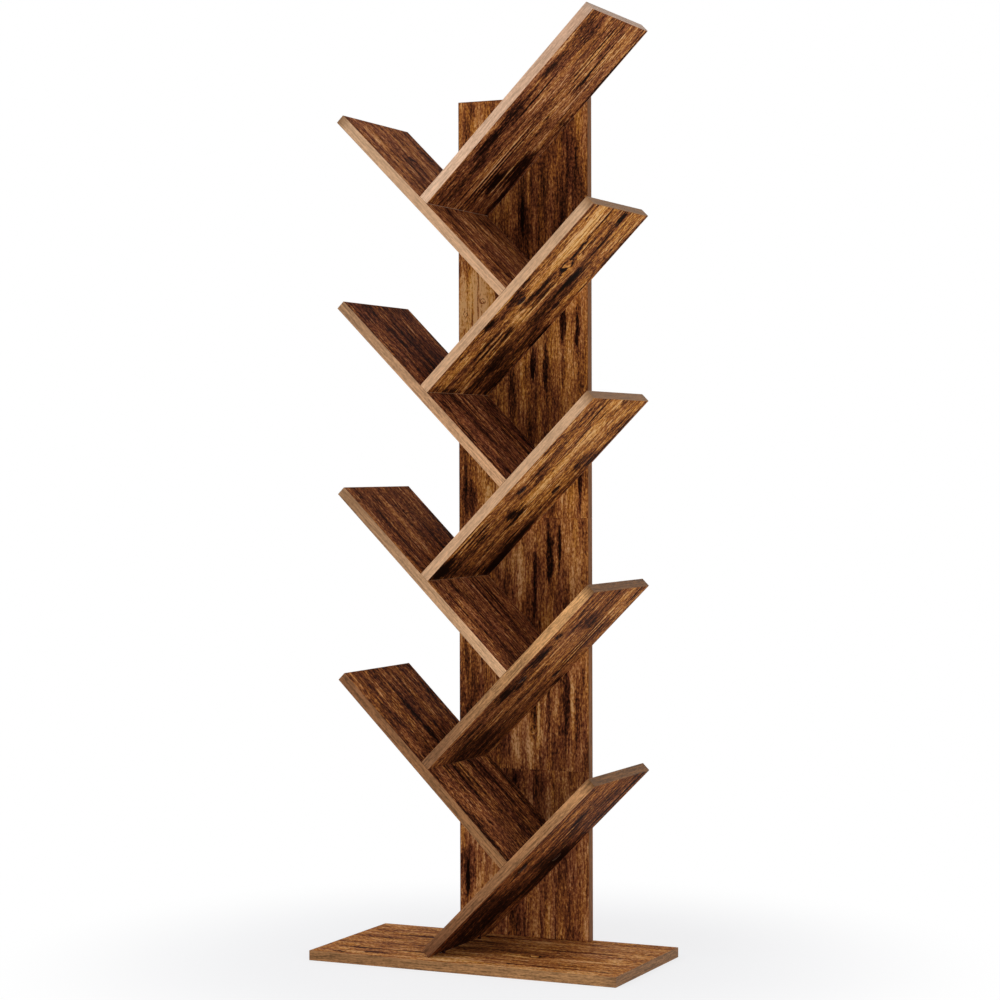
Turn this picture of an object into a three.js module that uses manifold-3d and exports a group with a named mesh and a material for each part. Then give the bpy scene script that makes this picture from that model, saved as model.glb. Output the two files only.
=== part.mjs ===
// A tree shaped bookshelf: nine slanted boards branch right and left in turn in front of an upright
// trunk, which stands on a base plate. Each branch seats its square-cut lower end on the board below.
// Millimetres, +Z up, the front towards -Y, the origin on the floor under the middle of the base.
import * as THREE from "three";
import { mergeVertices } from "three/addons/utils/BufferGeometryUtils.js";
import Module from "manifold-3d";

const wasm = await Module();
wasm.setup();

// Boards
const boardThickness = 15;
const arrisRadius = 0.6;
const arrisSteps = 2;
const baseWidth = 500;
const baseDepth = 250;
const branchLength = 380;
const branchSetback = 20; // front of the base plate to the front edges of the branches
const tierPitch = 280; // from one branch to the next on the same side, straight up
const leftBranches = 4; // the right side has one more
const trunkWidth = 220;
const trunkLowerLength = 260;
const trunkMiddleLength = 390;
const trunkUpperLength = 650;

// Clearances
const seatGap = 0.3; // between a slanted board and what it seats on
const fitGap = 0.3; // all round a screw or a dowel in its hole
const cutOverrun = 2;
const mergeDistance = 1e-4; // vertices closer than this are one

// Screws: flat countersunk heads with a hexagon socket
const fastenerSides = 10;
const screw = { headRadius: 6, rim: 1, cone: 2.5, shankRadius: 2.5, tip: 5, length: 50 };
const shortScrew = { ...screw, length: 30 };
const jointScrew = { ...screw, headRadius: 8.5 }; // its wide head shows under the branches
const socket = { sides: 6, acrossFlats: 4, depth: 2.5 };
const headRecess = 0.5; // heads lie this far below the face of their board
const jointScrewInset = 45; // from the front and rear edges of a branch
const trunkScrewInset = 26; // from the side of the trunk
const trunkScrewAlong = 60; // from the lower end of a branch
const trunkFootScrewInset = 40; // from the side of the trunk
const cornerScrewShift = 4; // from the lowest corner towards the underside of its branch

// Dowels at the seams of the trunk
const dowel = { radius: 3, length: 30, chamfer: 0.8 };
const dowelInset = 50; // from the side of the trunk

// Both sides rise at half a right angle, so a square-cut end seats flat on the board that carries it.
const branchAngle = Math.PI / 4;
const rise = Math.sin(branchAngle);
const branchDepth = baseDepth - branchSetback - boardThickness;
const branchMidY = branchSetback / 2 - boardThickness / 2;
const trunkMidY = baseDepth / 2 - boardThickness / 2;
const trunkHalf = trunkWidth / 2;
const jointScrewSpread = branchDepth / 2 - jointScrewInset;
const sides = { left: -1, right: 1 };
// A branch starts this far past the middle, which brings the seats of both sides to the same place.
const startOffset = tierPitch / 4 - (boardThickness + seatGap) * rise;
const lowestStart = boardThickness + seatGap - arrisRadius * rise;

const boardFace = (color) => new THREE.MeshStandardMaterial({ color, roughness: 0.55, metalness: 0 });
const branchFinish = boardFace(0x74451f);
const trunkFinish = boardFace(0x5a3520);
const baseFinish = boardFace(0x7d4c26);
const screwFinish = new THREE.MeshStandardMaterial({ color: 0x241a14, roughness: 0.4, metalness: 0.8 });
const dowelFinish = new THREE.MeshStandardMaterial({ color: 0xd9b98a, roughness: 0.8, metalness: 0 });

/** Turns every face of a mirrored geometry round again. */
function flipFaces(geometry) {
  const index = geometry.index.array;
  for (let i = 0; i < index.length; i += 3) {
    [index[i + 1], index[i + 2]] = [index[i + 2], index[i + 1]];
  }
}

/** A copy of a geometry moved by a matrix, with its faces pointing out even where the matrix mirrors it. */
function moved(geometry, matrix) {
  const copy = geometry.clone().applyMatrix4(matrix);
  if (matrix.determinant() < 0) flipFaces(copy);
  return copy;
}

/** Turns a closed geometry into a solid that can be cut. */
function solidFrom(geometry) {
  const bare = geometry.clone();
  bare.deleteAttribute("normal");
  bare.deleteAttribute("uv");
  const merged = mergeVertices(bare, mergeDistance);
  const mesh = new wasm.Mesh({
    numProp: 3,
    vertProperties: new Float32Array(merged.attributes.position.array),
    triVerts: new Uint32Array(merged.index.array),
  });
  return new wasm.Manifold(mesh);
}

/** Turns a solid back into a geometry. */
function geometryFrom(solid) {
  const mesh = solid.getMesh();
  const geometry = new THREE.BufferGeometry();
  geometry.setAttribute("position", new THREE.BufferAttribute(mesh.vertProperties, 3));
  geometry.setIndex(new THREE.BufferAttribute(mesh.triVerts, 1));
  geometry.computeVertexNormals();
  return geometry;
}

/** A board with eased arrises: length along X from 0, width along Y about 0, thickness along Z from 0. */
function boardGeometry(length, width) {
  const outline = new THREE.Shape();
  outline.moveTo(0, -width / 2);
  outline.lineTo(length, -width / 2);
  outline.lineTo(length, width / 2);
  outline.lineTo(0, width / 2);
  outline.closePath();
  const geometry = new THREE.ExtrudeGeometry(outline, {
    depth: boardThickness - 2 * arrisRadius,
    bevelSize: arrisRadius,
    bevelOffset: -arrisRadius,
    bevelThickness: arrisRadius,
    bevelSegments: arrisSteps,
  });
  return geometry.translate(0, 0, arrisRadius);
}

/** Revolves a profile of radius and depth pairs about +Z, the way that the fastener is driven. */
function turned(profile) {
  const points = profile.map(([radius, depth]) => new THREE.Vector2(radius, depth));
  return new THREE.LatheGeometry(points, fastenerSides).rotateX(Math.PI / 2);
}

/** A screw with the face of its board at depth 0. */
function screwGeometry({ headRadius, rim, cone, shankRadius, tip, length }) {
  const blank = turned([
    [0, headRecess],
    [headRadius, headRecess],
    [headRadius, headRecess + rim],
    [shankRadius, headRecess + rim + cone],
    [shankRadius, length - tip],
    [0, length],
  ]);
  const cornerRadius = socket.acrossFlats / 2 / Math.cos(Math.PI / socket.sides);
  const depth = socket.depth + cutOverrun;
  const hexagon = new THREE.CylinderGeometry(cornerRadius, cornerRadius, depth, socket.sides);
  hexagon.rotateX(Math.PI / 2);
  hexagon.translate(0, 0, headRecess + (socket.depth - cutOverrun) / 2);
  return geometryFrom(solidFrom(blank).subtract(solidFrom(hexagon)));
}

/** The hole for a screw: its countersink, its shank and the room beyond its tip. */
function screwHole({ headRadius, rim, cone, shankRadius, length }) {
  return turned([
    [0, -cutOverrun],
    [headRadius + fitGap, -cutOverrun],
    [headRadius + fitGap, headRecess + rim + fitGap],
    [shankRadius + fitGap, headRecess + rim + cone + fitGap],
    [shankRadius + fitGap, length + fitGap],
    [0, length + fitGap],
  ]);
}

/** A dowel with the seam at its middle. */
function dowelGeometry({ radius, length, chamfer }) {
  return turned([
    [0, -length / 2],
    [radius - chamfer, -length / 2],
    [radius, chamfer - length / 2],
    [radius, length / 2 - chamfer],
    [radius - chamfer, length / 2],
    [0, length / 2],
  ]);
}

/** The hole for a dowel, half of it on each side of the seam. */
function dowelHole({ radius, length }) {
  const half = length / 2 + fitGap;
  return turned([
    [0, -half],
    [radius + fitGap, -half],
    [radius + fitGap, half],
    [0, half],
  ]);
}

const shelf = new THREE.Group();
shelf.name = "tree_bookshelf";
const boards = [];
const fasteners = [];

/** Adds a board to its group. */
function addBoard(parent, name, length, width, finish) {
  const mesh = new THREE.Mesh(boardGeometry(length, width), finish);
  mesh.name = name;
  parent.add(mesh);
  boards.push(mesh);
  return mesh;
}

/** Adds a fastener at a point of its group, driven along a direction. */
function addFastener(parent, name, shape, hole, finish, point, direction) {
  const mesh = new THREE.Mesh(shape, finish);
  mesh.name = name;
  mesh.position.set(...point);
  mesh.quaternion.setFromUnitVectors(new THREE.Vector3(0, 0, 1), new THREE.Vector3(...direction));
  parent.add(mesh);
  fasteners.push({ mesh, hole });
}

const longShape = screwGeometry(screw);
const longHole = screwHole(screw);
const shortShape = screwGeometry(shortScrew);
const shortHole = screwHole(shortScrew);
const jointShape = screwGeometry(jointScrew);
const jointHole = screwHole(jointScrew);
const dowelShape = dowelGeometry(dowel);
const dowelBore = dowelHole(dowel);

/** Adds a screw of the long kind. */
function addScrew(parent, name, point, direction) {
  addFastener(parent, name, longShape, longHole, screwFinish, point, direction);
}

/** The base plate lies flat, its length along X. */
function addBase() {
  const plate = addBoard(shelf, "base_plate", baseWidth, baseDepth, baseFinish);
  plate.position.x = -baseWidth / 2;
}

/** Two dowels across a seam of the trunk. */
function addSeamDowels(trunk, number, height) {
  for (const [sideName, side] of Object.entries(sides)) {
    const name = `dowel_${number}_${sideName}`;
    const point = [side * (trunkHalf - dowelInset), 0, height];
    addFastener(trunk, name, dowelShape, dowelBore, dowelFinish, point, [0, 0, 1]);
  }
}

/** The trunk boards stand on the base plate at its rear edge, butted end to end with dowels. */
function addTrunk() {
  const trunk = new THREE.Group();
  trunk.position.set(0, trunkMidY, boardThickness);
  shelf.add(trunk);
  const lengths = { lower: trunkLowerLength, middle: trunkMiddleLength, upper: trunkUpperLength };
  let seam = 0;
  Object.entries(lengths).forEach(([place, length], index) => {
    const board = addBoard(trunk, `trunk_${place}`, length, trunkWidth, trunkFinish);
    // Stood on end, then turned to face the front
    board.rotation.set(0, -Math.PI / 2, -Math.PI / 2, "ZYX");
    board.position.set(0, -boardThickness / 2, seam);
    if (index > 0) addSeamDowels(trunk, index, seam);
    seam += length;
  });
  for (const [sideName, side] of Object.entries(sides)) {
    const point = [side * (trunkHalf - trunkFootScrewInset), 0, -boardThickness];
    addScrew(trunk, `trunk_foot_screw_${sideName}`, point, [0, 0, 1]);
  }
}

/**
 * A branch in a group of its own: its length along the group's X from its lower end, its underside at Z 0.
 * A left branch is the mirror image of a right one. Its screws are those that hold it.
 */
function addBranch(sideName, number, startHeight) {
  const name = `${sideName}_branch_${number}`;
  const mirrored = new THREE.Group();
  mirrored.scale.x = sides[sideName];
  shelf.add(mirrored);
  const branch = new THREE.Group();
  branch.position.set(-startOffset, branchMidY, startHeight);
  branch.rotation.y = -branchAngle;
  mirrored.add(branch);
  addBoard(branch, name, branchLength, branchDepth, branchFinish);

  const middle = boardThickness / 2;
  const outer = (trunkHalf - trunkScrewInset + startOffset) / rise + middle;
  const back = branchDepth / 2 + boardThickness;
  addScrew(branch, `${name}_trunk_screw_lower`, [trunkScrewAlong, back, middle], [0, -1, 0]);
  addScrew(branch, `${name}_trunk_screw_upper`, [outer, back, middle], [0, -1, 0]);
  return branch;
}

/** The two screws that enter a branch's lower end through the board that carries it. */
function addJointScrews(branch, name) {
  const carrierUnderside = -seatGap - boardThickness;
  for (const [place, y] of Object.entries({ front: -jointScrewSpread, rear: jointScrewSpread })) {
    const point = [carrierUnderside, y, boardThickness / 2];
    addFastener(branch, `${name}_joint_screw_${place}`, jointShape, jointHole, screwFinish, point, [1, 0, 0]);
  }
}

/** The lowest branch stands on its corner: two short screws come up into it through the base plate. */
function addCornerScrews() {
  const x = -startOffset + cornerScrewShift;
  for (const [place, offset] of Object.entries({ front: -jointScrewSpread, rear: jointScrewSpread })) {
    const point = [x, branchMidY + offset, 0];
    addFastener(shelf, `corner_screw_${place}`, shortShape, shortHole, screwFinish, point, [0, 0, 1]);
  }
}

/** Branches are numbered from the top: each left one starts half a tier below the right one above it. */
function addBranches() {
  const rightBranches = leftBranches + 1;
  for (let number = 1; number <= rightBranches; number += 1) {
    const height = lowestStart + (rightBranches - number) * tierPitch;
    const right = addBranch("right", number, height);
    if (number < rightBranches) {
      addJointScrews(right, `right_branch_${number}`);
      const left = addBranch("left", number, height - tierPitch / 2);
      addJointScrews(left, `left_branch_${number}`);
    }
  }
  addCornerScrews();
}

/** Drills every board for the fasteners that pass through it. */
function drillBoards() {
  shelf.updateMatrixWorld(true);
  const drills = fasteners.map(({ mesh, hole }) => moved(hole, mesh.matrixWorld));
  for (const board of boards) {
    const toBoard = board.matrixWorld.clone().invert();
    let solid = solidFrom(board.geometry);
    for (const drill of drills) solid = solid.subtract(solidFrom(moved(drill, toBoard)));
    board.geometry = geometryFrom(solid);
  }
}

addBase();
addTrunk();
addBranches();
drillBoards();

export default shelf;
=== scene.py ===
"""The looks of the tree shaped bookshelf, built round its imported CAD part.

Every board is particle board faced with a rustic brown wood print and edged with a tan banding.
All lengths are in metres, apart from the prints, whose features are given in millimetres.
"""

import logging
import math
from collections.abc import Callable
from dataclasses import dataclass
from enum import Enum, IntEnum

import bmesh
import bpy
import numpy as np
from mathutils import Matrix, Vector


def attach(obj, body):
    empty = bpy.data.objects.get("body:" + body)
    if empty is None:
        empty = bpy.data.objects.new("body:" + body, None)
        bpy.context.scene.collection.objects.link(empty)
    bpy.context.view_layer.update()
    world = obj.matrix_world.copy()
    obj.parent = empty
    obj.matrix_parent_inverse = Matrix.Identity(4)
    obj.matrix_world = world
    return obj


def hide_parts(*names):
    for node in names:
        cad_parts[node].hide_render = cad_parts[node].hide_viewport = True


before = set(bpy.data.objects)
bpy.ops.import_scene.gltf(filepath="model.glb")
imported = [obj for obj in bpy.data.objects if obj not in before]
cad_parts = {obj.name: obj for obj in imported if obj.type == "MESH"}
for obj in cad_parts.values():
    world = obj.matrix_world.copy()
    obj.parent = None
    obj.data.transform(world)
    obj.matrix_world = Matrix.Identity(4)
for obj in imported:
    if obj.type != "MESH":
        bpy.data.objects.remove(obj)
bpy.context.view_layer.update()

LOG = logging.getLogger("bookshelf")
MM = 0.001
PER_MM = 1 / MM
BODY = "root"
PLACE = "board_place"
WHITE = "#ffffff"

# The sRGB curve: straight up to its limit, and a power from there
BYTE_TOP = 255
CURVE_LIMIT = 0.04045
CURVE_SLOPE = 12.92
CURVE_SHIFT = 0.055
CURVE_POWER = 2.4

# Sockets of the Mix node when it mixes colours
MIX_FACTOR = 0
MIX_A = 6
MIX_B = 7
MIX_RESULT = 2

# The least upright part of a normal: of a face that looks up, and of one that lies flat
FACING = 0.9
FLAT = 0.999

# How viewers that read no nodes show every finish
PLAIN_ROUGHNESS = 0.55

Tree = bpy.types.NodeTree
Socket = bpy.types.NodeSocket
Material = bpy.types.Material
Piece = bpy.types.Object
Pair = tuple[float, float]
Triple = tuple[float, float, float]


class Side(Enum):
    """The broad faces of a board, as its own frame has them."""

    UNDER = -1
    UPPER = 1


class Edge(Enum):
    """The narrow edges of a board: its two ends along X, and its two long edges across Y."""

    NEAR = "near"
    FAR = "far"
    FRONT = "front"
    BACK = "back"


class Finish(IntEnum):
    """The finishes of a board, in the order of its material slots."""

    PRINT = 0
    BANDING = 1
    CORE = 2


class Screw(Enum):
    """The kinds of screw: the usual one, a short one, and the wide-headed one of the joints."""

    USUAL = "usual"
    SHORT = "short"
    JOINT = "joint"


class Hand(Enum):
    """The side of the shelf that a branch rises to."""

    LEFT = "left"
    RIGHT = "right"


def linear(colour: str) -> tuple[float, float, float, float]:
    """Turns an sRGB hex colour into the linear one that Blender takes.

    Args:
        colour: six hex digits after a number sign.

    Returns:
        Red, green, blue and an alpha of one.
    """
    parts = []
    for start in (1, 3, 5):
        share = int(colour[start : start + 2], 16) / BYTE_TOP
        bent = ((share + CURVE_SHIFT) / (1 + CURVE_SHIFT)) ** CURVE_POWER
        parts.append(share / CURVE_SLOPE if share <= CURVE_LIMIT else bent)
    return (*parts, 1.0)


def add_node(
    tree: Tree,
    kind: str,
    inputs: dict | None = None,
    stops: tuple[tuple[float, str], ...] = (),
    **settings: object,
) -> bpy.types.Node:
    """Adds a node with its settings and its links.

    Args:
        tree: the material's or the world's nodes.
        kind: Blender's name for the kind of node.
        inputs: a value or another node's output for each input, by name or number.
        stops: places and colours for a colour ramp.
        settings: the node's own settings.

    Returns:
        The new node.
    """
    node = tree.nodes.new(kind)
    for name, value in settings.items():
        setattr(node, name, value)
    for key, value in (inputs or {}).items():
        if isinstance(value, Socket):
            tree.links.new(value, node.inputs[key])
        else:
            node.inputs[key].default_value = value
    if stops:
        marks = node.color_ramp.elements
        while len(marks) < len(stops):
            marks.new(1.0)
        for mark, (place, colour) in zip(marks, stops):
            mark.position = place
            mark.color = linear(colour)
    return node


def compute(tree: Tree, operation: str, *values: float | Socket) -> Socket:
    """Adds one sum of numbers and gives its result."""
    return add_node(tree, "ShaderNodeMath", dict(enumerate(values)), operation=operation).outputs["Value"]


def combine(tree: Tree, operation: str, *vectors: Triple | Socket, **more: Socket) -> Socket:
    """Adds one sum of vectors and gives its result, which is a number for a length.

    Args:
        tree: the nodes to add to.
        operation: Blender's name for the sum.
        vectors: what goes into it, in the order of its sockets.
        more: what goes into a socket by its name.

    Returns:
        The result.
    """
    inputs = {**dict(enumerate(vectors)), **more}
    node = add_node(tree, "ShaderNodeVectorMath", inputs, operation=operation)
    return node.outputs["Value" if operation == "LENGTH" else "Vector"]


def remap(
    tree: Tree, value: Socket, source: Pair = (0, 1), target: Pair = (0, 1), curve: str = "LINEAR"
) -> Socket:
    """Moves a value from one range to another, and keeps it in the second.

    Args:
        tree: the nodes to add to.
        value: what is moved.
        source: where the first range starts and ends.
        target: where the second one does.
        curve: Blender's name for how it goes from start to end.

    Returns:
        The value in the second range.
    """
    names = ("From Min", "From Max", "To Min", "To Max")
    inputs = {"Value": value, **dict(zip(names, (*source, *target)))}
    return add_node(tree, "ShaderNodeMapRange", inputs, interpolation_type=curve).outputs["Result"]


def add_ramp(tree: Tree, share: Socket, stops: tuple[tuple[float, str], ...]) -> Socket:
    """Colours a value by a ramp of sRGB stops."""
    return add_node(tree, "ShaderNodeValToRGB", {"Fac": share}, stops).outputs["Color"]


def mix_shaders(tree: Tree, share: Socket, first: Socket, second: Socket) -> Socket:
    """Mixes two shaders, the second by this share."""
    return add_node(tree, "ShaderNodeMixShader", {0: share, 1: first, 2: second}).outputs["Shader"]


def add_bump(tree: Tree, height: Socket, depth: float, strength: float = 1.0) -> Socket:
    """Bends the normals as a relief of this depth does."""
    inputs = {"Height": height, "Distance": depth, "Strength": strength}
    return add_node(tree, "ShaderNodeBump", inputs).outputs["Normal"]


def add_noise(
    tree: Tree, place: Socket, size: Pair, shift: Triple, detail: float, roughness: float = 0.5
) -> bpy.types.Node:
    """Adds noise with long spots.

    Args:
        tree: the nodes to add to.
        place: the places along and across the grain.
        size: how long and wide the spots are, in millimetres.
        shift: moves the noise, so that no two layers are alike.
        detail: how many finer layers it has.
        roughness: how strong the finer layers are.

    Returns:
        The noise node.
    """
    scale = (PER_MM / size[0], PER_MM / size[1], 1)
    moved = add_node(tree, "ShaderNodeMapping", {"Vector": place, "Location": shift, "Scale": scale})
    inputs = {"Vector": moved.outputs["Vector"], "Scale": 1.0, "Detail": detail, "Roughness": roughness}
    return add_node(tree, "ShaderNodeTexNoise", inputs)


def board_places(tree: Tree) -> Socket:
    """Gives how far along and across its board each spot is."""
    return add_node(tree, "ShaderNodeAttribute", attribute_name=PLACE).outputs["Vector"]


def object_places(tree: Tree) -> Socket:
    """Gives where on its object each spot is."""
    return add_node(tree, "ShaderNodeTexCoord").outputs["Object"]


def empty_material(name: str) -> tuple[Material, Tree]:
    """Makes a material whose nodes are still to be added.

    Args:
        name: what the material is called.

    Returns:
        The material and its nodes.
    """
    material = bpy.data.materials.new(name)
    material.use_nodes = True
    material.node_tree.nodes.clear()
    return material, material.node_tree


def finish_surface(tree: Tree, inputs: dict, plain: str) -> None:
    """Ends a material with a Principled shader.

    Args:
        tree: the material's nodes.
        inputs: the shader's values and links.
        plain: the mean colour, kept behind the link for viewers that read no nodes.
    """
    shader = add_node(tree, "ShaderNodeBsdfPrincipled", inputs)
    shader.inputs["Base Color"].default_value = linear(plain)
    shader.inputs["Roughness"].default_value = PLAIN_ROUGHNESS
    add_node(tree, "ShaderNodeOutputMaterial", {"Surface": shader.outputs["BSDF"]})


@dataclass(frozen=True)
class Spot:
    """A long oval on the print, in millimetres: where its middle is, and how long and wide it is."""

    along: float
    across: float
    length: float
    width: float


@dataclass(frozen=True)
class Streak(Spot):
    """A long patch of the print that is darker or lighter than the wood round it."""

    tone: float


@dataclass(frozen=True)
class Knot(Spot):
    """A knot of the print: a dark ring round a paler core, with a paler halo and a dark heart."""

    core: float = 0.2
    core_band: Pair = (0.86, 0.70)
    ring: tuple[Pair, float] = ((0.72, 0.86), -0.5)
    halo: tuple[Pair, float] = ((1.02, 1.3), 0.5)
    heart: tuple[Pair, float] = ((0.3, 0.1), -0.3)

    @property
    def rings(self) -> tuple[tuple[Pair, float], ...]:
        """Where each ring begins and is whole, in shares of the knot, and what it adds to the tone."""
        return (self.ring, self.halo, (self.core_band, self.core), self.heart)


@dataclass(frozen=True)
class Grain:
    """One layer of a figure: spots of one size, in millimetres along and across the grain."""

    length: float
    width: float
    strength: float


def make_streaks(*rows: tuple[float, ...]) -> tuple[Streak, ...]:
    """Makes a streak of each row: along, across, length, width and tone."""
    return tuple(Streak(*row) for row in rows)


# A tone of 0 is the darkest brown of the print and a tone of 1 its palest tan.
BROWN_TONES = (
    (0.00, "#180d07"),
    (0.12, "#2c170d"),
    (0.25, "#492714"),
    (0.38, "#65391e"),
    (0.50, "#894e25"),
    (0.62, "#ac6a2d"),
    (0.74, "#cd8539"),
    (0.86, "#e2a04c"),
    (1.00, "#f4c07a"),
)
RED_TONES = (
    (0.00, "#1a0a05"),
    (0.25, "#472219"),
    (0.50, "#86492f"),
    (0.75, "#b6774e"),
    (1.00, "#e6b080"),
)
# The finest layer is drawn coarser than the print's real pores of about 0.3 mm, so that it shows.
LIVELY_FIGURE = (Grain(170, 20, 1.0), Grain(55, 8, 0.9), Grain(26, 3.2, 1.1), Grain(6, 3.2, 1.7))
CALM_FIGURE = (Grain(210, 28, 1.2), Grain(80, 9, 0.6), Grain(24, 2.6, 0.8), Grain(5, 2.4, 1.4))


@dataclass(frozen=True)
class RusticPrint:
    """Melamine paper with a photographic print of old oak, pressed on particle board.

    The resin gives it an even, half matt sheen with shallow pores. The print itself carries the
    broad brown and golden streaks, dark stains, hairlines and knots that the eye takes for wood.
    """

    tone: float
    redness: float
    streaks: tuple[Streak, ...] = ()
    knots: tuple[Knot, ...] = ()
    figure: tuple[Grain, ...] = LIVELY_FIGURE
    hairs: Pair = (0.16, -0.28)
    hair_size: Pair = (120, 3)
    hair_bands: tuple[Pair, Pair] = ((0.60, 0.70), (0.41, 0.32))
    dark_gain: float = 1.2
    light_gain: float = 0.95
    red_drift: float = 0.3
    drift_size: Pair = (120, 15)
    drift_band: Pair = (0.35, 0.65)
    roughness: Pair = (0.43, 0.71)
    sheen: float = 0.005
    pore_depth: float = 0.00004
    pore_strength: float = 0.8
    noise_detail: float = 3.0
    noise_roughness: float = 0.65
    fade: Pair = (1.25, 0.5)
    ragged_size: Pair = (14, 3)
    ragged_reach: Triple = (0.06, 0.014, 0.0)
    line_width: float = 8.0
    line_gain: float = 1.35
    line_reach: Triple = (0.04, 0.0044, 0.0)
    knot_pull: float = -0.85
    pull_spread: Pair = (5, 4)
    plain: str = "#6b4326"

    def material(self, board: str) -> Material:
        """Builds the print of a board as nodes over its own lengthwise and crosswise places.

        Args:
            board: the board's name.

        Returns:
            The material.
        """
        material, tree = empty_material(f"rustic_print_{board}")
        place = board_places(tree)
        flat = combine(tree, "MULTIPLY", place, (1, 1, 0))
        drawn = self._pull_round_knots(tree, place, flat)
        ragged = self._ragged(tree, drawn, flat, self.ragged_reach)
        clean = self._ragged(tree, drawn, flat, self.line_reach)
        tone, pores = self._figure(tree, drawn)
        for streak in self.streaks:
            thin = streak.width < self.line_width
            gain = self.dark_gain if streak.tone < 0 else self.light_gain
            away = self._distance(tree, clean if thin else ragged, streak)
            step = streak.tone * gain * (self.line_gain if thin else 1)
            tone = self._shift_tone(tree, tone, away, self.fade, step)
        for knot in self.knots:
            away = self._distance(tree, clean, knot)
            for band, step in knot.rings:
                tone = self._shift_tone(tree, tone, away, band, step)
        self._finish(tree, drawn, tone, pores)
        return material

    def _noise(self, tree: Tree, place: Socket, size: Pair) -> bpy.types.Node:
        """Adds noise whose spots are this long and wide in millimetres."""
        return add_noise(tree, place, size, (*size, size[0]), self.noise_detail, self.noise_roughness)

    def _ragged(self, tree: Tree, drawn: Socket, flat: Socket, reach: Triple) -> Socket:
        """Shifts the places a little along and across, so that every streak gets torn edges.

        Args:
            tree: the material's nodes.
            drawn: the board's places, drawn round the knots.
            flat: the same places as they are.
            reach: how far they are shifted, along and across.

        Returns:
            The shifted places.
        """
        noise = self._noise(tree, drawn, self.ragged_size).outputs["Color"]
        centred = combine(tree, "SUBTRACT", noise, (0.5, 0.5, 0.5))
        return combine(tree, "MULTIPLY_ADD", centred, reach, flat)

    def _distance(self, tree: Tree, flat: Socket, spot: Spot, spread: Pair = (1, 1)) -> Socket:
        """Adds the distance from a spot's middle, which is one at its rim.

        Args:
            tree: the material's nodes.
            flat: the places to measure.
            spot: the oval.
            spread: makes it longer and wider.

        Returns:
            The distance.
        """
        inputs = {
            "Vector": flat,
            "Location": (spot.along * MM, spot.across * MM, 0),
            "Scale": (spot.length * spread[0] * MM / 2, spot.width * spread[1] * MM / 2, 1),
        }
        scaled = add_node(tree, "ShaderNodeMapping", inputs, vector_type="TEXTURE")
        return combine(tree, "LENGTH", scaled.outputs["Vector"])

    def _shift_tone(self, tree: Tree, tone: Socket, away: Socket, band: Pair, step: float) -> Socket:
        """Adds a step to the tone, which comes in over a band of distances."""
        return compute(tree, "ADD", tone, remap(tree, away, band, (0, step), "SMOOTHSTEP"))

    def _pull_round_knots(self, tree: Tree, place: Socket, flat: Socket) -> Socket:
        """Draws the grain apart round each knot, as wood grows round a branch.

        Args:
            tree: the material's nodes.
            place: the board's places.
            flat: the same without their seed.

        Returns:
            The places to draw the figure at.
        """
        for knot in self.knots:
            away = self._distance(tree, flat, knot, self.pull_spread)
            pull = remap(tree, away, (1, 0), (0, self.knot_pull), "SMOOTHERSTEP")
            aside = combine(tree, "SUBTRACT", flat, (knot.along * MM, knot.across * MM, 0))
            across = combine(tree, "MULTIPLY", aside, (0, 1, 0))
            place = combine(tree, "ADD", place, combine(tree, "SCALE", across, Scale=pull))
        return place

    def _figure(self, tree: Tree, drawn: Socket) -> tuple[Socket, Socket]:
        """Sums the layers of the figure.

        Args:
            tree: the material's nodes.
            drawn: the board's places, drawn round the knots.

        Returns:
            The tone with every layer on it, and the finest layer alone.
        """
        tone = self.tone - sum(layer.strength for layer in self.figure) / 2
        for layer in self.figure:
            noise = self._noise(tree, drawn, (layer.length, layer.width)).outputs["Fac"]
            tone = compute(tree, "MULTIPLY_ADD", noise, layer.strength, tone)
        hairs = self._noise(tree, drawn, self.hair_size).outputs["Fac"]
        for band, step in zip(self.hair_bands, self.hairs):
            tone = self._shift_tone(tree, tone, hairs, band, step)
        return tone, noise

    def _finish(self, tree: Tree, drawn: Socket, tone: Socket, pores: Socket) -> None:
        """Colours the tones and adds sheen and pores.

        Args:
            tree: the material's nodes.
            drawn: the board's places, drawn round the knots.
            tone: how pale the print is.
            pores: the finest layer of the figure.
        """
        drift = self._noise(tree, drawn, self.drift_size).outputs["Fac"]
        reach = (self.redness - self.red_drift, self.redness + self.red_drift)
        inputs = {
            MIX_FACTOR: remap(tree, drift, self.drift_band, reach),
            MIX_A: add_ramp(tree, tone, BROWN_TONES),
            MIX_B: add_ramp(tree, tone, RED_TONES),
        }
        colour = add_node(tree, "ShaderNodeMix", inputs, data_type="RGBA").outputs[MIX_RESULT]
        finish_surface(
            tree,
            {
                "Base Color": colour,
                "Roughness": remap(tree, pores, target=self.roughness),
                "Normal": add_bump(tree, pores, self.pore_depth, self.pore_strength),
                "Specular IOR Level": self.sheen,
            },
            self.plain,
        )


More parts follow.
